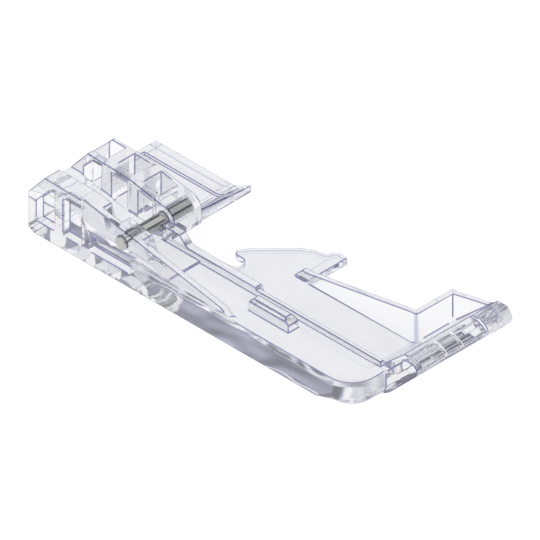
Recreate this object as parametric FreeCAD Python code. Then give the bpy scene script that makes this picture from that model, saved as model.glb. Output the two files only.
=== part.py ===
import FreeCAD, Part
import math
import os
from FreeCAD import Vector

# Frame: origin on the sole plane under the middle of the bare pin.
# X points across to the knife side, Y to the back, Z up. All sizes in millimetres.

# Pin and the clip gap it crosses
PIN_R = 1.0
PIN_Z = 6.6
PIN_CLEARANCE = 0.01
GAP = 5.1
PIN_PROUD = 0.2
PIN_IN_EAR = 4.4
BORE_SPARE = 0.1
PIN_CHAMFER = 0.15

# Overall outline
BACK_Y = 17.6
TOE_Y = -49.6
LEFT_WALL = 3.0
WIDTH_RIGHT = 18.95
BODY_TOP = 4.0

# Left wall and housing share one top line
WALL_TOP = 10.0
BACK_CHAMFER_Z = 6.3
BACK_CHAMFER_Y = 3.1
SOLE_CHAMFER_Y = 1.0
SOLE_CHAMFER_Z = 0.6
SHOULDER_Y = 6.8
SHOULDER_Z = 9.8
SLOPE = 0.183

# Ramp rib in front of the left wall
WALL_FRONT_Y = -3.0
WALL_FOOT_Y = -6.3
RAMP_FRONT_Y = -20.4
RAMP_WIDTH = 1.05
SET_BACK = 0.25
CREASE_Z = 4.2
CREASE_Y = 7.5

# Windows in the left face
POCKET_DEPTH = 1.35
WINDOW_LOW = 2.3
WINDOW_TOP = 8.35
WINDOWS_Y = ((12.6, 16.05), (7.55, 11.0))
WINDOW_CORNER = 2.8
SLOT_Y = (-1.8, 6.2)
SLOT_TOP = 3.9

# Relief behind the left pin bore
RELIEF_WIDTH = 1.6
RELIEF_TOP_Y = (0.95, 4.9)
RELIEF_LOW_Y = (2.0, 3.6)
RELIEF_Z = 6.3

# Channel floor between wall and housing
CHANNEL_BACK_Z = 6.3
CHANNEL_LOW_Y = 5.4
CHANNEL_LOW_Z = 4.3
CHANNEL_STEP_Y = -8.1

# Rail on the right edge of the body, stop bump
RAIL = 1.3
RAIL_TOP = 5.2
RAIL_STEP_Y = -18.6
RAIL_LOW_TOP = 4.85
RAIL_LOW_WIDTH = 0.7
RAIL_FRONT_Y = -42.3
GUSSET_Y = -5.7
GUSSET_R = 1.2
BUMP_X = (-1.9, 0.05)
BUMP_Y = (-28.0, -20.5)
BUMP_TOP = 6.0
BUMP_CHAMFER = 0.45

# Rounded nose of the body
NOSE_Y = -43.7
NOSE_R = 4.0
NOSE_LOW_R = 1.9
NOSE_FADE_Y = -37.0
EDGE_R = 0.3
RIM_WIDTH = 1.5
RIM_HEIGHT = 0.4

# Ribbed housing right of the gap
HOUSE_WIDTH = 5.2
HOUSE_FRONT_R = 2.0
HOUSE_FOOT_Z = 4.2
BAY_FLOOR = 4.4
BAY_LEFT = 1.15
BAY_WIDTH = 3.45
BAYS_Y = ((11.9, 14.9), (6.8, 10.1), (2.0, 5.1))
SIDE_WINDOWS_Y = ((11.9, 15.2), (7.0, 9.9), (2.2, 4.9))
TOP_BAND = 0.75

# Wing plate
WING_BACK_Y = 17.8
WING_RIGHT = 18.85
WING_FRONT_Y = -0.6
WING_TOP = 2.45
WING_BEND_Y = 6.5
WING_BEND_R = 5.0
WING_ANGLE = math.radians(29.0)
WING_TOP_R = 3.0
WING_LIP = 1.15
WING_LIP_AT_HOUSE = 2.0
WING_LIP_WIDTH = 0.9
WING_END_R = 0.8
WING_MARGIN = 3.1
WING_RECESS = 0.45
WING_RECESS_Y = 16.9

# Sole plate with needle notch, hook and knife opening
PLATE = 0.95
PLATE_AT_TOE = 1.2
STRIP_RIGHT = 6.5
NOTCH_X = (6.85, 9.15)
NOTCH_Y = -9.3
NOTCH_R = 1.1
HOOK = ((9.15, -6.9, 0.3), (9.95, -6.35, 0.4), (11.55, -7.3, 1.0), (16.25, -11.9, 1.5), (17.3, -13.5, 2.0),
        (17.8, -15.6, 0.6), (18.7, -15.9, 0.3), (18.95, -16.5, 0.2))
PLATE_FRONT_Y = -18.4
LIP_WIDTH = 1.8
LIP_TOP = 1.15
LIP_BACK = 0.15
FENCE_X = 11.15

# Knife fence
FENCE = 0.9
FENCE_BACK_Y = -17.5
FENCE_POST = 3.0
FENCE_POST_RISE = 0.2
FENCE_LEAD = 1.5
FENCE_CORNER_Y = -38.3
FENCE_CORNER_TOP = 6.1
FENCE_SLOPE = 0.18
FENCE_CORNER_R = 0.6

# Ski tip
TOE_TOP = 7.7
TOE_TOP_BACK_Y = -46.1
TOE_SIDE_SLOPE = 0.225
TOE_FLAT_END_Y = -43.3
TOE_BEND_R = 4.0
TOE_EDGE_Z = 6.3
TOE_FACE = 0.1
TOE_CREASE = (-48.4, 7.38)
TOE_CREST_Y = -47.5
TOE_CREST_R = 1.2
TOE_INNER_Y = -38.46
TOE_INNER_R = 3.0
TOE_LEFT_X = 1.95
TOE_END_X = 0.95
TOE_END_TOP = 7.8
TOE_END_R = 1.25
TOE_END_BACK = (-43.6, 4.05)
TOE_CAP_X = 14.35
TOE_CAP_TOP = 8.1
TOE_CAP_R = 1.6
TOE_CORNER_R = 1.0
TOE_FLARE = 0.35

# Needle marks moulded into the ski tip
MARKS_X = (6.6, 9.6)
MARK_FRONT_Y = -49.2
MARK_WIDTH = 0.5
MARK_DEPTH = 0.3

GAP_LEFT = -GAP / 2
GAP_RIGHT = GAP / 2
LEFT_X = GAP_LEFT - LEFT_WALL
HOUSE_RIGHT = GAP_RIGHT + HOUSE_WIDTH
BIG = 100.0


def rounded_wire(corners, place):
    """Closed wire through (a, b) or (a, b, r) corners; r rounds the corner with a true tangent arc."""
    corners = [(tuple(corner) + (0.0,))[:3] for corner in corners]
    count = len(corners)
    turns = []
    for index, (a, b, radius) in enumerate(corners):
        here = Vector(a, b, 0)
        if radius == 0:
            turns.append((here, None, here))
            continue
        before = Vector(*corners[index - 1][:2], 0)
        after = Vector(*corners[(index + 1) % count][:2], 0)
        to_before = (before - here).normalize()
        to_after = (after - here).normalize()
        half = to_before.getAngle(to_after) / 2
        reach = radius / math.tan(half)
        inward = (to_before + to_after).normalize()
        centre = here + inward * (radius / math.sin(half))
        turns.append((here + to_before * reach, centre - inward * radius, here + to_after * reach))
    edges = []
    for index, (start, middle, end) in enumerate(turns):
        if middle is not None:
            edges.append(Part.Arc(place(start), place(middle), place(end)).toShape())
        following = turns[(index + 1) % count][0]
        if (following - end).Length > 1e-6:
            edges.append(Part.makeLine(place(end), place(following)))
    return Part.Wire(edges)


def side_prism(corners, x_low, x_high):
    """Solid with a (y, z) outline, running along X."""
    wire = rounded_wire(corners, lambda p: Vector(x_low, p.x, p.y))
    return Part.Face(wire).extrude(Vector(x_high - x_low, 0, 0))


def front_prism(corners, y_low, y_high):
    """Solid with an (x, z) outline, running along Y."""
    wire = rounded_wire(corners, lambda p: Vector(p.x, y_low, p.y))
    return Part.Face(wire).extrude(Vector(0, y_high - y_low, 0))


def plan_prism(corners, z_low, z_high):
    """Solid with an (x, y) outline, running up Z."""
    wire = rounded_wire(corners, lambda p: Vector(p.x, p.y, z_low))
    return Part.Face(wire).extrude(Vector(0, 0, z_high - z_low))


def box(x_low, x_high, y_low, y_high, z_low, z_high):
    """Rectangular solid between the given limits."""
    return Part.makeBox(x_high - x_low, y_high - y_low, z_high - z_low, Vector(x_low, y_low, z_low))


def top_line(y):
    """Height of the sloping top of wall, ramp and housing."""
    return SHOULDER_Z - SLOPE * (SHOULDER_Y - y)


def fence_top(y):
    """Height of the plane that trims the fence walls."""
    return FENCE_CORNER_TOP + FENCE_SLOPE * (FENCE_CORNER_Y - y)


def body_bar():
    """Body under wall and channel, its front left corner turned and rolled under."""
    turn_x = LEFT_X + NOSE_R
    turn_y = NOSE_Y + NOSE_R
    rear = side_prism([(NOSE_FADE_Y, 0), (BACK_Y - SOLE_CHAMFER_Y, 0), (BACK_Y, SOLE_CHAMFER_Z),
                       (BACK_Y, BODY_TOP), (NOSE_FADE_Y, BODY_TOP)], LEFT_X, GAP_RIGHT)

    def section(y, radius):
        corners = [(LEFT_X, 0, radius), (turn_x, 0), (turn_x, BODY_TOP), (LEFT_X, BODY_TOP)]
        return rounded_wire(corners, lambda p: Vector(p.x, y, p.y))

    turn = Vector(turn_x, turn_y, 0)
    up = Vector(0, 0, 1)
    fade = Part.makeLoft([section(NOSE_FADE_Y, EDGE_R), section(turn_y, NOSE_LOW_R)], True, True)
    corner = Part.Face(section(turn_y, NOSE_LOW_R)).revolve(turn, up, 90)
    front = side_prism([(NOSE_Y, 0, NOSE_LOW_R), (turn_y, 0), (turn_y, BODY_TOP), (NOSE_Y, BODY_TOP)],
                       turn_x, TOE_END_X)
    middle = box(turn_x, GAP_RIGHT, turn_y - 1.4, NOSE_FADE_Y, 0, BODY_TOP)
    under_toe = box(turn_x, GAP_RIGHT, TOE_FLAT_END_Y + 0.8, turn_y, 0.5, BODY_TOP)
    edge = [(LEFT_X, BODY_TOP - 0.1), (LEFT_X, BODY_TOP + RIM_HEIGHT), (LEFT_X + RIM_WIDTH, BODY_TOP),
            (LEFT_X + RIM_WIDTH, BODY_TOP - 0.1)]
    rim_wire = rounded_wire(edge, lambda p: Vector(p.x, turn_y, p.y))
    rim_corner = Part.Face(rim_wire).revolve(turn, up, 90)
    rim_side = front_prism(edge, turn_y, RAMP_FRONT_Y + 1.0)
    rim_front = side_prism([(a - LEFT_X + NOSE_Y, b) for a, b in edge], turn_x, TOE_END_X)
    return rear.fuse([fade, corner, front, middle, under_toe, rim_side, rim_corner, rim_front])


def back_and_top(front_corners):
    """Outline shared by wall and housing: back chamfer, flat top, shoulder, then the given front."""
    return [(BACK_Y - SOLE_CHAMFER_Y, 0), (BACK_Y, SOLE_CHAMFER_Z), (BACK_Y, BACK_CHAMFER_Z),
            (BACK_Y - BACK_CHAMFER_Y, WALL_TOP), (SHOULDER_Y, SHOULDER_Z, 6.0)] + front_corners


def left_wall():
    """Ear wall left of the gap with its hollow-curved front, plus the thin ramp rib."""
    foot = CHANNEL_LOW_Z
    front = [(WALL_FRONT_Y, top_line(WALL_FRONT_Y)), (WALL_FRONT_Y - 1.3, foot + 0.9, 2.5),
             (WALL_FOOT_Y, foot), (WALL_FOOT_Y, 0)]
    wall = side_prism(back_and_top(front), LEFT_X, GAP_LEFT)
    ramp = side_prism([(WALL_FRONT_Y + 1.0, 1.0), (WALL_FRONT_Y + 1.0, top_line(WALL_FRONT_Y + 1.0)),
                       (RAMP_FRONT_Y + 1.7, top_line(RAMP_FRONT_Y + 1.7)), (RAMP_FRONT_Y, BODY_TOP),
                       (RAMP_FRONT_Y, 1.0)], LEFT_X, LEFT_X + SET_BACK + RAMP_WIDTH)
    return wall.fuse(ramp)


def set_back_cutter():
    """Shallow cut that sets the upper outer face back above the crease."""
    outline = [(RAMP_FRONT_Y - 1.0, CREASE_Z), (CREASE_Y - 2.0, CREASE_Z, 2.5), (CREASE_Y, CREASE_Z + 2.2),
               (CREASE_Y, WALL_TOP + 1.0), (RAMP_FRONT_Y - 1.0, WALL_TOP + 1.0)]
    return side_prism(outline, LEFT_X - 1.0, LEFT_X + SET_BACK)


def outer_pockets():
    """Two windows and a slot sunk into the left face."""
    pockets = []
    (y_low, y_high), second = WINDOWS_Y
    cut = WINDOW_CORNER
    pockets.append([(y_low, WINDOW_LOW), (y_high, WINDOW_LOW), (y_high, WINDOW_TOP - cut),
                    (y_high - cut * 0.9, WINDOW_TOP), (y_low, WINDOW_TOP)])
    for (y_low, y_high), top in ((second, WINDOW_TOP), (SLOT_Y, SLOT_TOP)):
        pockets.append([(y_low, WINDOW_LOW), (y_high, WINDOW_LOW), (y_high, top), (y_low, top)])
    return [side_prism([corner + (0.25,) for corner in pocket], LEFT_X - 1.0, LEFT_X + POCKET_DEPTH)
            for pocket in pockets]


def wall_relief():
    """U-shaped relief, open at the top, in the inner half of the wall behind the pin."""
    outline = [(RELIEF_TOP_Y[0] - 0.5, WALL_TOP + 1.5), (RELIEF_LOW_Y[0], RELIEF_Z, 0.5),
               (RELIEF_LOW_Y[1], RELIEF_Z, 0.7), (RELIEF_TOP_Y[1] + 0.5, WALL_TOP + 1.5)]
    return side_prism(outline, GAP_LEFT - RELIEF_WIDTH, GAP_LEFT + 0.01)


def channel_floor():
    """Floor of the clip gap: high at the back, falling to the body top."""
    return side_prism([(BACK_Y, 1.0), (BACK_Y, CHANNEL_BACK_Z), (BACK_Y - 1.7, CHANNEL_BACK_Z, 1.0),
                       (CHANNEL_LOW_Y, CHANNEL_LOW_Z, 4.0), (CHANNEL_STEP_Y, CHANNEL_LOW_Z),
                       (CHANNEL_STEP_Y, 1.0)], GAP_LEFT, GAP_RIGHT).fuse(
        box(LEFT_X + SET_BACK + RAMP_WIDTH, GAP_LEFT, CHANNEL_STEP_Y, WALL_FOOT_Y, 1.0, CHANNEL_LOW_Z))


def rail():
    """Guide rail on the right edge of the body with a gusset up to the ear."""
    rear_z = top_line(WALL_FRONT_Y) - 1.4
    outline = [(-1.0, 1.0), (-1.0, rear_z), (WALL_FRONT_Y - 1.2, rear_z), (GUSSET_Y, RAIL_TOP, GUSSET_R),
               (RAIL_STEP_Y, RAIL_TOP), (RAIL_STEP_Y - 0.6, BODY_TOP), (RAIL_STEP_Y - 0.6, 1.0)]
    left = GAP_RIGHT - RAIL
    low = box(left, left + RAIL_LOW_WIDTH, RAIL_FRONT_Y, RAIL_STEP_Y, 1.0, RAIL_LOW_TOP)
    return side_prism(outline, left, GAP_RIGHT).fuse(low)


def bump():
    """Stop bump with chamfered top on the body."""
    x_low, x_high = BUMP_X
    y_low, y_high = BUMP_Y
    cut = BUMP_CHAMFER
    along = side_prism([(y_low, 1.0), (y_high, 1.0), (y_high, BUMP_TOP - cut), (y_high - cut, BUMP_TOP),
                        (y_low + 2 * cut, BUMP_TOP), (y_low, BUMP_TOP - 2 * cut)], x_low, x_high)
    across = front_prism([(x_low, 0), (x_high, 0), (x_high, BUMP_TOP - cut), (x_high - cut, BUMP_TOP),
                          (x_low + cut, BUMP_TOP), (x_low, BUMP_TOP - cut)], y_low, y_high)
    return along.common(across)


def wing_underside():
    """Height of the curled front edge's lower corner, and where its slope would meet the sole."""
    rise = math.tan(WING_ANGLE)
    front_low = (WING_BEND_Y - WING_BEND_R * math.tan(WING_ANGLE / 2) - WING_FRONT_Y) * rise
    return front_low, WING_FRONT_Y + front_low / rise


def housing():
    """Ribbed housing right of the gap, its front rolled about the pin axis."""
    tangent_z = top_line(0)
    front_low, low_bend_y = wing_underside()
    front = [(0.2, tangent_z), (-HOUSE_FRONT_R, tangent_z, HOUSE_FRONT_R - 0.02),
             (-HOUSE_FRONT_R, HOUSE_FOOT_Z), (WING_FRONT_Y, HOUSE_FOOT_Z), (WING_FRONT_Y, front_low),
             (low_bend_y, 0, WING_BEND_R)]
    solid = side_prism(back_and_top(front), GAP_RIGHT, HOUSE_RIGHT)
    x_low = GAP_RIGHT + BAY_LEFT
    cutters = [box(x_low, x_low + BAY_WIDTH, y_low, y_high, BAY_FLOOR, BIG) for y_low, y_high in BAYS_Y]
    for index, (y_low, y_high) in enumerate(SIDE_WINDOWS_Y):
        top_low = min(top_line(y_low), WALL_TOP) - TOP_BAND
        top_high = min(top_line(y_high), WALL_TOP - 0.1) - TOP_BAND
        outline = [(y_low, BAY_FLOOR), (y_high, BAY_FLOOR), (y_high, top_high), (y_low, top_low)]
        if index == 0:
            outline = [(y_low, BAY_FLOOR), (y_high, BAY_FLOOR), (y_high, top_high - 1.6),
                       (y_high - 1.4, top_high), (y_low, top_high)]
        cutters.append(side_prism(outline, GAP_RIGHT - 1.0, x_low + 0.5))
    return solid.cut(cutters)


def wing():
    """Flat wing plate behind the knife, its front edge curled up like a ski."""
    front_low, low_bend_y = wing_underside()
    front_top = front_low + WING_LIP
    top_bend_y = WING_FRONT_Y + (front_top - WING_TOP) / math.tan(WING_ANGLE)

    def outline(drop):
        return [(WING_BACK_Y, 0), (WING_BACK_Y, WING_TOP - drop), (top_bend_y, WING_TOP - drop, WING_TOP_R),
                (WING_FRONT_Y, front_top - drop), (WING_FRONT_Y, front_low), (low_bend_y, 0, WING_BEND_R)]

    plate = side_prism(outline(0), GAP_RIGHT, WING_RIGHT)
    lip_top = front_low + WING_LIP_AT_HOUSE
    taper = front_prism([(GAP_RIGHT, front_top - 0.3), (GAP_RIGHT, lip_top), (HOUSE_RIGHT, lip_top),
                         (WING_RIGHT - 2.0, front_top), (WING_RIGHT - 2.0, front_top - 0.3)],
                        WING_FRONT_Y, WING_FRONT_Y + WING_LIP_WIDTH)
    plate = plate.fuse(taper)
    rounded = plan_prism([(GAP_RIGHT, WING_FRONT_Y - 1), (WING_RIGHT - WING_END_R, WING_FRONT_Y - 1),
                          (WING_RIGHT, WING_FRONT_Y + WING_END_R, 1.0), (WING_RIGHT, WING_BACK_Y),
                          (GAP_RIGHT, WING_BACK_Y)], -1, BIG)
    plate = plate.common(rounded)
    hollow = side_prism(outline(WING_RECESS), HOUSE_RIGHT, WING_RIGHT - WING_MARGIN)
    margin_x = WING_RIGHT - WING_MARGIN
    lip_y = WING_FRONT_Y + WING_LIP_WIDTH
    above = plan_prism([(HOUSE_RIGHT, WING_RECESS_Y - 1.4), (HOUSE_RIGHT + 1.6, WING_RECESS_Y),
                        (margin_x, WING_RECESS_Y), (margin_x, lip_y), (HOUSE_RIGHT, lip_y)], 1.0, BIG)
    return plate.cut(above.cut(hollow))


def sole_plate():
    """Thin plate: strip along the body, needle notch, hook, and the strip to the toe."""
    notch_left, notch_right = NOTCH_X
    rear = plan_prism([(GAP_RIGHT - 1.0, WING_BEND_Y), (STRIP_RIGHT, WING_BEND_Y), (STRIP_RIGHT, -6.0, 0.8),
                       (notch_left, NOTCH_Y + 1.5, 0.5), (notch_left, NOTCH_Y, NOTCH_R),
                       (notch_right, NOTCH_Y, NOTCH_R)] + list(HOOK)
                      + [(WIDTH_RIGHT, PLATE_FRONT_Y), (GAP_RIGHT - 1.0, PLATE_FRONT_Y)], 0, PLATE)
    toe_strip = side_prism([(PLATE_FRONT_Y + 1.0, 0), (PLATE_FRONT_Y + 1.0, PLATE), (PLATE_FRONT_Y, PLATE),
                            (FENCE_CORNER_Y, PLATE_AT_TOE), (FENCE_CORNER_Y, 0)],
                           GAP_RIGHT - 1.0, FENCE_X + FENCE)
    lip_back_y = PLATE_FRONT_Y + LIP_WIDTH
    lip = side_prism([(PLATE_FRONT_Y, 0), (PLATE_FRONT_Y, LIP_TOP), (lip_back_y - LIP_BACK, LIP_TOP),
                      (lip_back_y, PLATE), (lip_back_y, 0)], FENCE_X, WIDTH_RIGHT)
    return rear.fuse([toe_strip, lip])


def toe_outline(nose):
    """Side outline of the ski tip, from its curled underside round the given nose and down inside."""
    return ([(FENCE_CORNER_Y + 1.0, 0), (TOE_FLAT_END_Y, 0, TOE_BEND_R), (TOE_Y, TOE_EDGE_Z)] + nose
            + [(TOE_INNER_Y, PLATE, TOE_INNER_R), (FENCE_CORNER_Y + 1.0, PLATE)])


def toe_nose(inset):
    """Creased nose between the end caps; inset sinks it for the needle marks."""
    crease_y, crease_z = TOE_CREASE
    return [(TOE_Y + inset, TOE_EDGE_Z + TOE_FACE), (crease_y + 0.6 * inset, crease_z - 0.7 * inset),
            (TOE_CREST_Y, TOE_TOP - inset, TOE_CREST_R), (TOE_TOP_BACK_Y, TOE_TOP - inset)]


def toe():
    """Ski tip across the front: creased nose with needle marks between two fuller end caps."""
    bar = side_prism(toe_outline(toe_nose(0)), TOE_LEFT_X, WIDTH_RIGHT)
    skin = bar.cut(side_prism(toe_outline(toe_nose(MARK_DEPTH)), TOE_LEFT_X, WIDTH_RIGHT))
    grooves = [skin.common(box(x, x + MARK_WIDTH, MARK_FRONT_Y, TOE_TOP_BACK_Y - 0.5, TOE_EDGE_Z, BIG))
               for x in MARKS_X]
    bar = bar.cut(grooves)
    slope = (TOE_INNER_Y - TOE_TOP_BACK_Y) / (TOE_TOP - PLATE)
    cap_back_y = TOE_TOP_BACK_Y - slope * (TOE_CAP_TOP - TOE_TOP)
    right = WIDTH_RIGHT + TOE_FLARE
    cap_nose = [(TOE_Y, TOE_CAP_TOP, TOE_CAP_R), (cap_back_y, TOE_CAP_TOP)]
    cap = side_prism(toe_outline(cap_nose), TOE_CAP_X, right)
    end_back_y, end_back_z = TOE_END_BACK
    end = side_prism([(TOE_FLAT_END_Y + 3.0, 0), (TOE_FLAT_END_Y, 0, TOE_BEND_R), (TOE_Y, TOE_EDGE_Z),
                      (TOE_Y, TOE_END_TOP, TOE_END_R),
                      (end_back_y + end_back_z - TOE_END_TOP, TOE_END_TOP, 1.0), (end_back_y, end_back_z),
                      (TOE_FLAT_END_Y + 3.0, end_back_z)], TOE_END_X, TOE_LEFT_X + 0.1)
    back_y = FENCE_CORNER_Y + 2.0
    rounded = plan_prism([(TOE_END_X, back_y), (TOE_END_X, TOE_Y - 1), (right - 0.6, TOE_Y - 1),
                          (right, TOE_Y + 1.2, TOE_CORNER_R), (right, TOE_Y + 3.0),
                          (WIDTH_RIGHT, TOE_Y + 6.0), (WIDTH_RIGHT, back_y)], -1, BIG)
    return bar.fuse([cap, end]).common(rounded)


def fence():
    """Thin wall around the knife opening and up to the ski tip."""
    right = WIDTH_RIGHT
    turn = FENCE_CORNER_Y - FENCE
    side_front_y = TOE_Y + 3.0
    path = [(FENCE_X, FENCE_BACK_Y), (FENCE_X, turn, FENCE_CORNER_R), (right - FENCE, turn),
            (right - FENCE, side_front_y), (right, side_front_y), (right, FENCE_CORNER_Y),
            (FENCE_X + FENCE, FENCE_CORNER_Y), (FENCE_X + FENCE, FENCE_BACK_Y)]
    walls = plan_prism(path, 0.2, TOE_CAP_TOP)
    side_front_top = FENCE_CORNER_TOP + TOE_SIDE_SLOPE * (turn - side_front_y)
    sloped = side_prism([(FENCE_BACK_Y, 0), (FENCE_BACK_Y, fence_top(FENCE_BACK_Y)),
                         (FENCE_CORNER_Y, FENCE_CORNER_TOP), (turn, FENCE_CORNER_TOP),
                         (side_front_y, side_front_top), (side_front_y, 4.0),
                         (TOE_FLAT_END_Y + 1.0, 1.5), (FENCE_CORNER_Y, 0)], FENCE_X, right)
    post_top = fence_top(FENCE_BACK_Y) + FENCE_POST_RISE
    post = side_prism([(FENCE_BACK_Y + FENCE_LEAD, 0.2), (FENCE_BACK_Y + FENCE_LEAD, PLATE + 0.05),
                       (FENCE_BACK_Y, post_top), (FENCE_BACK_Y - FENCE_POST, post_top),
                       (FENCE_BACK_Y - FENCE_POST, 0.2)], FENCE_X, FENCE_X + FENCE)
    return walls.common(sloped).fuse(post)


def pin_cylinder(radius, x_low, x_high):
    """Cylinder on the pin axis."""
    return Part.makeCylinder(radius, x_high - x_low, Vector(x_low, 0, PIN_Z), Vector(1, 0, 0))


def foot_body():
    """The whole clear moulding."""
    body = body_bar().fuse([left_wall(), channel_floor(), rail(), bump(), housing(), wing(), sole_plate(),
                            toe(), fence()])
    bore_r = PIN_R + PIN_CLEARANCE
    bore_end = GAP_RIGHT + PIN_IN_EAR + BORE_SPARE
    bores = pin_cylinder(bore_r, LEFT_X - 1.0, bore_end)
    knife_opening = box(FENCE_X + FENCE, BIG, FENCE_CORNER_Y, PLATE_FRONT_Y, -1, BIG)
    cutters = [set_back_cutter(), wall_relief(), bores, knife_opening] + outer_pockets()
    return body.cut(cutters).removeSplitter()


def pin():
    """Steel pin with small end chamfers, proud of the left face."""
    x_low = LEFT_X - PIN_PROUD
    x_high = GAP_RIGHT + PIN_IN_EAR
    shaft = pin_cylinder(PIN_R, x_low, x_high)
    ends = [edge for edge in shaft.Edges if edge.Closed]
    return shaft.makeChamfer(PIN_CHAMFER, ends)


def single(shape):
    """The one solid a moulded piece must be."""
    solids = shape.Solids
    assert len(solids) == 1, "expected one solid, found %d" % len(solids)
    return solids[0]


os.makedirs("parts", exist_ok=True)
for node, shape in (("foot_body", foot_body()), ("pin", pin())):
    single(shape).exportStep("parts/%s.step" % node)
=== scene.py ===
import bmesh
import bpy
import numpy as np
from mathutils import Matrix, Vector


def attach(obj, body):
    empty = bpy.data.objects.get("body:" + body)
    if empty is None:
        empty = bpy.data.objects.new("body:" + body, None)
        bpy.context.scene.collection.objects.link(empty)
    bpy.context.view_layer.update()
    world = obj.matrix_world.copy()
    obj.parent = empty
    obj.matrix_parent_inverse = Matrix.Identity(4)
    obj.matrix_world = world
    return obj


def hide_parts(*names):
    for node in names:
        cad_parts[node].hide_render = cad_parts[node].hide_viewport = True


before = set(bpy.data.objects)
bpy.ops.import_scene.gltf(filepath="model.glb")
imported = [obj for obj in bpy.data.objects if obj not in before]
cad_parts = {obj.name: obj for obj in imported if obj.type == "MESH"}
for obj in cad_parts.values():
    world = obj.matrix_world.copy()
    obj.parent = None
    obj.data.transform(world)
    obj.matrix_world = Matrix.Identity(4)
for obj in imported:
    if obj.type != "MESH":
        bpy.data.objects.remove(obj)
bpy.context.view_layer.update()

# The clear foot is one injection moulding in clear polycarbonate, polished all over.
# Its edges are broken by the small radii that a mould tool leaves, and they show as dark lines:
# the radii take a darker grey-violet material, which is painted shade.
# It stands for the solid foot_body, with those radii added.
MM = 0.001
MOULD_RADIUS = 0.14 * MM
MOULD_SEGMENTS = 2
POLISH = 0.05
MATCHED_INDEX = 1.33
SINK_PITCH = 5.0 * MM
SINK_DEPTH = 0.15 * MM
TINT_AND_SHADE_FROM = 0.45
TINT_AND_SHADE_FULL = 0.95
PASSED_LIGHT = "#EEEEF6"
WELD = 0.0005 * MM
FLAT_ANGLE = 0.6
SHARP_ANGLE = 28.0
STRIP_SHARE = 0.8
FOLD_AREA = 0.0005 * MM * MM
FOLD_REACH = 0.2 * MM
FOLD_WIDENING = 0.25
FOLD_PASSES = 10
EDGE_BITE = 0.4 * MM


def linear(code):
    """Linear RGB with alpha 1 from an sRGB hex code."""
    parts = np.array([int(code[i:i + 2], 16) for i in (1, 3, 5)]) / 255.0
    low = parts / 12.92
    high = ((parts + 0.055) / 1.055) ** 2.4
    return (*np.where(parts <= 0.04045, low, high), 1.0)


def add_node(tree, kind, settings=None, links=None):
    """Adds a node; settings holds socket values or attributes, links maps an input to a source socket."""
    node = tree.nodes.new(kind)
    for name, value in (settings or {}).items():
        if name in node.inputs:
            node.inputs[name].default_value = value
        else:
            setattr(node, name, value)
    for name, source in (links or {}).items():
        tree.links.new(source, node.inputs[name])
    return node


def new_material(name):
    """An empty material and its node tree."""
    material = bpy.data.materials.new(name)
    material.use_nodes = True
    material.node_tree.nodes.clear()
    return material, material.node_tree


def combined(tree, operation, first, second):
    """Output of a math node on two sockets."""
    node = add_node(tree, "ShaderNodeMath", {"operation": operation})
    tree.links.new(first, node.inputs[0])
    tree.links.new(second, node.inputs[1])
    return node.outputs[0]


def mixed(tree, share, first, second):
    """Mix of two shaders: at a share of 1 only the second is left."""
    node = add_node(tree, "ShaderNodeMixShader", links={"Fac": share})
    tree.links.new(first.outputs[0], node.inputs[1])
    tree.links.new(second.outputs[0], node.inputs[2])
    return node


def ramp(tree, value, stops):
    """Colour output of a ramp whose stops, each a place and an sRGB hex code, come in order."""
    node = add_node(tree, "ShaderNodeValToRGB", links={"Fac": value})
    elements = node.color_ramp.elements
    for element, (place, code) in zip(elements, (stops[0], stops[-1])):
        element.position = place
        element.color = linear(code)
    for place, code in stops[1:-1]:
        elements.new(place).color = linear(code)
    return node.outputs["Color"]


def clear_polycarbonate(name, base, flat, edge_on, bent_share):
    """Clear polycarbonate: glossy, colourless in thin walls, grey-violet where light passes many of them,
    which is partly painted shade.

    A share of the light, bent_share, bends and mirrors as in glass and is tinted by base. The rest goes
    straight on, tinted by flat to edge_on as the face turns away, so ribs and pin stay readable behind the
    walls. The darkening towards edge_on is painted shade, for the dark room that the walls mirror and bend.
    A ray keeps to the way that it took first. The index of 1.585 is matched down, because at its full
    value the walls hide what shows behind them on the object. The faces wave slightly, as a moulding's do
    where it sinks while it cools. The waves are drawn deeper than the real few hundredths of a millimetre, so
    that they show.
    """
    material, tree = new_material(name)
    coords = add_node(tree, "ShaderNodeTexCoord")
    sinks = add_node(tree, "ShaderNodeTexNoise", {"Scale": 1.0 / SINK_PITCH, "Detail": 0.0},
                     {"Vector": coords.outputs["Object"]})
    wavy = add_node(tree, "ShaderNodeBump", {"Strength": 1.0, "Distance": SINK_DEPTH},
                    {"Height": sinks.outputs["Fac"]})
    bent = add_node(tree, "ShaderNodeBsdfPrincipled", {
        "Base Color": linear(base), "Roughness": POLISH, "IOR": MATCHED_INDEX, "Transmission Weight": 1.0},
        {"Normal": wavy.outputs["Normal"]})
    # Painted shade: the straight light darkens to grey-violet as the face turns away.
    turned = add_node(tree, "ShaderNodeLayerWeight", {"Blend": 0.5})
    tint_and_shade = ramp(tree, turned.outputs["Facing"], ((TINT_AND_SHADE_FROM, flat), (TINT_AND_SHADE_FULL, edge_on)))
    straight = add_node(tree, "ShaderNodeBsdfTransparent", links={"Color": tint_and_shade})
    path = add_node(tree, "ShaderNodeLightPath")
    chance = add_node(tree, "ShaderNodeMapRange", {"To Min": bent_share, "To Max": 0.0},
                      {"Value": path.outputs["Transparent Depth"]})
    kept = combined(tree, "MAXIMUM", chance.outputs["Result"], path.outputs["Transmission Depth"])
    seen = mixed(tree, kept, straight, bent)
    passing = add_node(tree, "ShaderNodeBsdfTransparent", {"Color": linear(PASSED_LIGHT)})
    surface = mixed(tree, path.outputs["Is Shadow Ray"], seen, passing)
    add_node(tree, "ShaderNodeOutputMaterial", links={"Surface": surface.outputs[0]})
    return material


def is_sharp(edge):
    """True for an edge between two faces that meet at a corner."""
    return len(edge.link_faces) == 2 and edge.calc_face_angle() > np.radians(SHARP_ANGLE)


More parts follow.
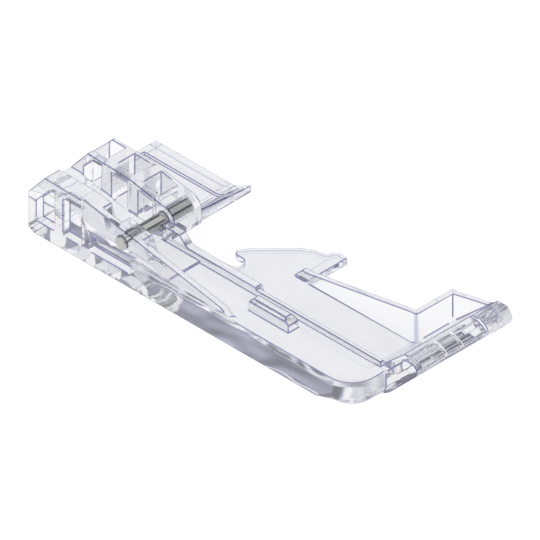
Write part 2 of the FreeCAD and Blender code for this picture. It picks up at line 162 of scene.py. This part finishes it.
def is_narrow(face):
    """True for a strip between two sharp edges that has no room for both their radii."""
    border = sum(edge.calc_length() for edge in face.edges)
    sharp = sum(edge.calc_length() for edge in face.edges if is_sharp(edge))
    return sharp > STRIP_SHARE * border and 2.0 * face.calc_area() / border < 2.0 * MOULD_RADIUS


def merged_copy(node, name):
    """Closed mesh from a solid's loose triangles: points welded, flat faces joined, sharp edges marked.

    A narrow strip is a rounded edge by itself, so it takes the material of the edges, painted dark edge
    shade.
    """
    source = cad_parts[node]
    mesh = source.data.copy()
    mesh.name = name
    work = bmesh.new()
    work.from_mesh(mesh)
    bmesh.ops.remove_doubles(work, verts=work.verts, dist=WELD)
    bmesh.ops.dissolve_limit(work, angle_limit=np.radians(FLAT_ANGLE), verts=work.verts, edges=work.edges)
    bmesh.ops.recalc_face_normals(work, faces=work.faces)
    weight = work.edges.layers.float.new("bevel_weight_edge")
    narrow = {face for face in work.faces if is_narrow(face)}
    for edge in work.edges:
        edge[weight] = float(is_sharp(edge) and not narrow.intersection(edge.link_faces))
    for face in work.faces:
        face.material_index = int(face in narrow)
    work.to_mesh(mesh)
    work.free()
    mesh.materials.clear()
    piece = bpy.data.objects.new(name, mesh)
    piece.matrix_world = Matrix.Identity(4)
    bpy.context.scene.collection.objects.link(piece)
    return piece


def bevel_faults(piece, low, high):
    """Points where the live bevel goes wrong.

    They are the corners of triangles turned against their face, and points outside the solid's own box.
    """
    shown = piece.evaluated_get(bpy.context.evaluated_depsgraph_get()).to_mesh()
    shown.calc_loop_triangles()
    places = np.empty(3 * len(shown.vertices))
    shown.vertices.foreach_get("co", places)
    faces = np.empty(3 * len(shown.polygons))
    shown.polygons.foreach_get("normal", faces)
    corners = np.empty(3 * len(shown.loop_triangles), dtype=int)
    shown.loop_triangles.foreach_get("vertices", corners)
    owner = np.empty(len(shown.loop_triangles), dtype=int)
    shown.loop_triangles.foreach_get("polygon_index", owner)
    places = places.reshape(-1, 3)
    triangles = places[corners].reshape(-1, 3, 3)
    across = np.cross(triangles[:, 1] - triangles[:, 0], triangles[:, 2] - triangles[:, 0])
    along = np.einsum("ij,ij->i", across, faces.reshape(-1, 3)[owner])
    outside = ((places < low - WELD) | (places > high + WELD)).any(axis=1)
    return np.concatenate([triangles[along < -FOLD_AREA].reshape(-1, 3), places[outside]])


def leave_sharp(mesh, faults, reach):
    """Takes the mark off edges that end near a fault: a bite off a long one, the whole of a short one."""
    work = bmesh.new()
    work.from_mesh(mesh)
    weight = work.edges.layers.float["bevel_weight_edge"]
    places = np.array([point.co for point in work.verts])
    close = np.linalg.norm(places[:, None] - faults[None], axis=2).min(axis=1) < reach
    crowded = {point for point, near in zip(work.verts, close) if near}
    for edge in [edge for edge in work.edges if edge[weight] > 0.0]:
        for end in [point for point in edge.verts if point in crowded]:
            length = edge.calc_length()
            if length > 2.0 * EDGE_BITE:
                bite, _ = bmesh.utils.edge_split(edge, end, EDGE_BITE / length)
                bite[weight] = 0.0
            else:
                edge[weight] = 0.0
    work.to_mesh(mesh)
    work.free()
    mesh.update()


def break_edges(piece, radius, segments):
    """Rounds the marked edges by a live bevel, and shades flat faces flat.

    Where the bevel folds over, the edges nearby are left sharp, from a little further off at each turn. The
    turns are limited, and one small fold at the foot of the ski tip's right cap outlasts them.
    """
    mesh = piece.data
    mesh.shade_smooth()
    mesh.set_sharp_from_angle(angle=np.radians(SHARP_ANGLE))
    bevel = piece.modifiers.new("mould radius", "BEVEL")
    bevel.width = radius
    bevel.segments = segments
    bevel.limit_method = "WEIGHT"
    bevel.use_clamp_overlap = False
    bevel.harden_normals = True
    # The rounded faces take the second material, painted dark edge shade.
    bevel.material = 1
    places = np.array([point.co for point in mesh.vertices])
    for turn in range(FOLD_PASSES):
        faults = bevel_faults(piece, places.min(axis=0), places.max(axis=0))
        if len(faults) == 0:
            break
        leave_sharp(mesh, faults, FOLD_REACH * (1.0 + FOLD_WIDENING * turn))
    flat = piece.modifiers.new("flat faces", "WEIGHTED_NORMAL")
    flat.mode = "FACE_AREA"
    flat.weight = 100
    flat.keep_sharp = True


foot = merged_copy("foot_body", "clear_foot")
# The second material, on the radii and narrow strips, is darker grey-violet all over: painted edge shade.
for part in (("clear moulded polycarbonate", "#EFEFF1", "#F6F6F7", "#8C90B4", 0.88),
             ("polycarbonate radius with painted edge shade", "#A6AAC8", "#8488AC", "#565A84", 0.32)):
    foot.data.materials.append(clear_polycarbonate(*part))
break_edges(foot, MOULD_RADIUS, MOULD_SEGMENTS)
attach(foot, "root")
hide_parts("foot_body")

# The cross pin is ground steel wire, cut to length and pressed through the left ear into the housing.
# It is bright and smooth, with fine straight lines along it that break its highlights into streaks.
PIN_STREAK_WIDTH = 0.35 * MM
PIN_STREAK_LENGTH = 8.0 * MM
PIN_SMOOTHEST = 0.1
PIN_ROUGHEST = 0.34


def ground_steel():
    """Ground steel wire: neutral grey metal with streaks of smoother and rougher surface along X.

    The real lines are a few hundredths of a millimetre wide and are drawn coarser, so that they show.
    """
    material, tree = new_material("ground steel wire")
    coords = add_node(tree, "ShaderNodeTexCoord")
    streaks = add_node(tree, "ShaderNodeMapping", {
        "Scale": (1.0 / PIN_STREAK_LENGTH, 1.0 / PIN_STREAK_WIDTH, 1.0 / PIN_STREAK_WIDTH)},
        {"Vector": coords.outputs["Object"]})
    grain = add_node(tree, "ShaderNodeTexNoise", {"Scale": 1.0, "Detail": 2.0},
                     {"Vector": streaks.outputs["Vector"]})
    rough = add_node(tree, "ShaderNodeMapRange", {"To Min": PIN_SMOOTHEST, "To Max": PIN_ROUGHEST},
                     {"Value": grain.outputs["Fac"]})
    steel = add_node(tree, "ShaderNodeBsdfPrincipled", {"Base Color": linear("#B8B8B5"), "Metallic": 1.0},
                     {"Roughness": rough.outputs["Result"]})
    add_node(tree, "ShaderNodeOutputMaterial", links={"Surface": steel.outputs[0]})
    return material


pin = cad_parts["pin"]
pin.data.materials.clear()
pin.data.materials.append(ground_steel())

# The foot lies on a plain white table top, a hair below its sole.
# It shows as white to the lens and through the plastic, and keeps a soft shadow.
FLOOR_HALF = 3.0
FLOOR_DROP = 0.03 * MM
FLOOR_PLAIN_SHARE = 0.8


def floor_material():
    """White table top: mostly its own colour to the lens, with a share of lit surface for the shadow."""
    material, tree = new_material("white table top")
    lit = add_node(tree, "ShaderNodeBsdfDiffuse", {"Color": linear("#FAFAFA")})
    plain = add_node(tree, "ShaderNodeEmission", {"Color": linear("#FFFFFF"), "Strength": 1.0})
    path = add_node(tree, "ShaderNodeLightPath")
    seen = combined(tree, "MAXIMUM", path.outputs["Is Camera Ray"], path.outputs["Is Transmission Ray"])
    seen = combined(tree, "MAXIMUM", seen, path.outputs["Is Glossy Ray"])
    share = add_node(tree, "ShaderNodeMapRange", {"To Max": FLOOR_PLAIN_SHARE}, {"Value": seen})
    surface = mixed(tree, share.outputs["Result"], lit, plain)
    add_node(tree, "ShaderNodeOutputMaterial", links={"Surface": surface.outputs[0]})
    return material


floor_mesh = bpy.data.meshes.new("table top")
corners = [(x * FLOOR_HALF, y * FLOOR_HALF, -FLOOR_DROP) for x, y in ((-1, -1), (1, -1), (1, 1), (-1, 1))]
floor_mesh.from_pydata(corners, [], [(0, 1, 2, 3)])
floor = bpy.data.objects.new("table_top", floor_mesh)
floor.data.materials.append(floor_material())
bpy.context.scene.collection.objects.link(floor)

# The room is a white tent, shaded low down and lighter at the back and the left, as for clear goods.
# A grey card stands beyond the far right corner. All is mottled, so the plastic shows soft patches.
# The lens itself sees only white.
GREY_CARD = ((0.577, 0.577, 0.577), 0.8, 0.98, 1.0, 0.35)
LIGHT_BACK = ((0.0, 1.0, 0.0), 0.65, 0.98, 0.0, 0.36)
LIGHT_LEFT = ((-1.0, 0.0, 0.0), 0.3, 0.9, 0.0, 0.3)
MOTTLE_SCALE = 4.5
MOTTLE_SWING = 1.2
TENT_TONES = ((0.0, "#3E4049"), (0.25, "#5E6170"), (0.42, "#A9ACC6"), (0.62, "#FFFFFF"), (1.0, "#FFFFFF"))
world = bpy.data.worlds.new("white tent")
bpy.context.scene.world = world
world.use_nodes = True
sky = world.node_tree
sky.nodes.clear()
direction = add_node(sky, "ShaderNodeTexCoord")


def room_part(toward, edge, full, outside, inside):
    """A part of the room round one direction: from edge to full, as cosines, outside fades to inside."""
    facing = add_node(sky, "ShaderNodeVectorMath", {"operation": "DOT_PRODUCT"})
    sky.links.new(direction.outputs["Generated"], facing.inputs[0])
    facing.inputs[1].default_value = toward
    part = add_node(sky, "ShaderNodeMapRange", {
        "From Min": edge, "From Max": full, "To Min": outside, "To Max": inside},
        {"Value": facing.outputs["Value"]})
    return part.outputs["Result"]


split = add_node(sky, "ShaderNodeSeparateXYZ", links={"Vector": direction.outputs["Generated"]})
mottle = add_node(sky, "ShaderNodeTexNoise", {"Scale": MOTTLE_SCALE, "Detail": 0.0},
                  {"Vector": direction.outputs["Generated"]})
swing = add_node(sky, "ShaderNodeMapRange", {"To Min": -0.5 * MOTTLE_SWING, "To Max": 0.5 * MOTTLE_SWING},
                 {"Value": mottle.outputs["Fac"]})
level = combined(sky, "MINIMUM", split.outputs["Z"], room_part(*GREY_CARD))
level = combined(sky, "ADD", level, room_part(*LIGHT_BACK))
level = combined(sky, "ADD", level, room_part(*LIGHT_LEFT))
level = combined(sky, "ADD", level, swing.outputs["Result"])
around = add_node(sky, "ShaderNodeBackground", {"Strength": 1.0}, {"Color": ramp(sky, level, TENT_TONES)})
white = add_node(sky, "ShaderNodeBackground", {"Color": linear("#FFFFFF"), "Strength": 1.0})
sight = add_node(sky, "ShaderNodeLightPath")
either = combined(sky, "MAXIMUM", sight.outputs["Is Glossy Ray"], sight.outputs["Is Transmission Ray"])
add_node(sky, "ShaderNodeOutputWorld", links={"Surface": mixed(sky, either, white, around).outputs[0]})

# One soft lamp, above and to the left of the view, gives the floor its faint shadow.
# The plastic and the steel show only the white tent, as under wide lights, so both are blind to the lamp.
LAMP_PLACE = (-0.25, 0.1, 0.45)
LAMP_SIZE = 0.3
LAMP_POWER = 2.5
lamp_data = bpy.data.lights.new("soft box", "AREA")
lamp_data.energy = LAMP_POWER
lamp_data.size = LAMP_SIZE
lamp = bpy.data.objects.new("soft_box", lamp_data)
lamp.location = LAMP_PLACE
lamp.rotation_euler = (-Vector(LAMP_PLACE)).to_track_quat("-Z", "Y").to_euler()
lamp.visible_glossy = False
lamp.visible_transmission = False
bpy.context.scene.collection.objects.link(lamp)

# The camera looks down the isometric diagonal from the front left, without perspective.
# Light crosses many walls of the clear moulding, so it gets more bounces than usual.
VIEW_WIDTH = 72.28 * MM
VIEW_RIGHT = 16.02 * MM
VIEW_UP = -0.48 * MM
VIEW_AWAY = 0.5
BOUNCES = 32
STRAIGHT_PASSES = 48
away = Vector((-1.0, -1.0, 1.0)).normalized()
right = Vector((1.0, -1.0, 0.0)).normalized()
up = away.cross(right)
camera_data = bpy.data.cameras.new("isometric view")
camera_data.type = "ORTHO"
camera_data.ortho_scale = VIEW_WIDTH
camera = bpy.data.objects.new("isometric_view", camera_data)
camera.location = right * VIEW_RIGHT + up * VIEW_UP + away * VIEW_AWAY
camera.rotation_euler = (-away).to_track_quat("-Z", "Y").to_euler()
bpy.context.scene.collection.objects.link(camera)
bpy.context.scene.camera = camera
bpy.context.scene.view_settings.view_transform = "Standard"
bpy.context.scene.cycles.max_bounces = BOUNCES
bpy.context.scene.cycles.glossy_bounces = BOUNCES
bpy.context.scene.cycles.transmission_bounces = BOUNCES
bpy.context.scene.cycles.transparent_max_bounces = STRAIGHT_PASSES
